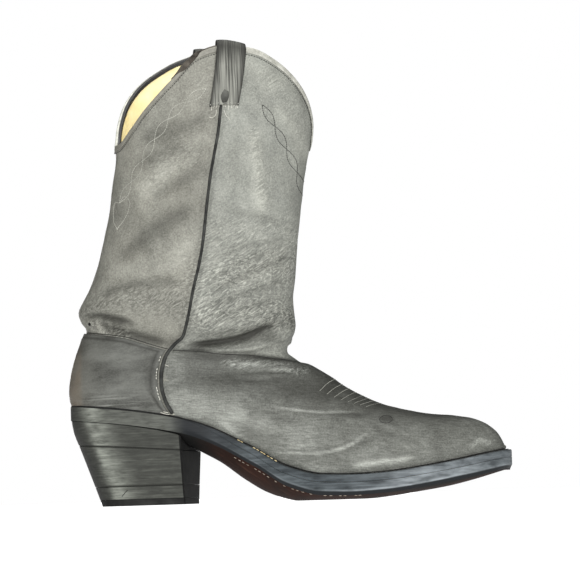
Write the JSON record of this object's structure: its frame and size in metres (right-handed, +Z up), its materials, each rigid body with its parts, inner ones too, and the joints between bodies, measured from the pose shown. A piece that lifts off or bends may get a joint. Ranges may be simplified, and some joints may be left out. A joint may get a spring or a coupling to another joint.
{
  "type": "western boot",
  "caption": "Pull-on western boot for the left foot: hollow leather upper with a scalloped shaft, pull straps, welted leather sole with toe spring, and a stacked underslung heel.",
  "frame": {"origin": "centre of the boot's box, on the floor that heel and forefoot stand on", "axes": "+X from heel to toe, +Y to the outer side of the foot, +Z up the shaft"},
  "size_m": [0.303, 0.109, 0.3216],
  "materials": {
    "leather": "worn, lightly pebbled, semi-matt",
    "trim": "smooth, satin",
    "strap": "ribbed webbing, matt",
    "edge": "waxed sole edge, satin",
    "heel": "stacked lifts, waxed, satin",
    "cap": "matt",
    "insole": "smooth, matt"
  },
  "bodies": {
    "root": {"upper": "leather", "heel_counter": "leather", "side_piping_inner": "trim", "side_piping_outer": "trim", "pull_strap_inner": "strap", "pull_strap_outer": "strap", "collar_binding": "trim", "outsole": "edge", "welt": "edge", "insole": "insole", "heel_top_lift": "heel", "heel_block": "heel", "heel_low_lift": "heel", "heel_cap": "cap"}
  },
  "joints": []
}
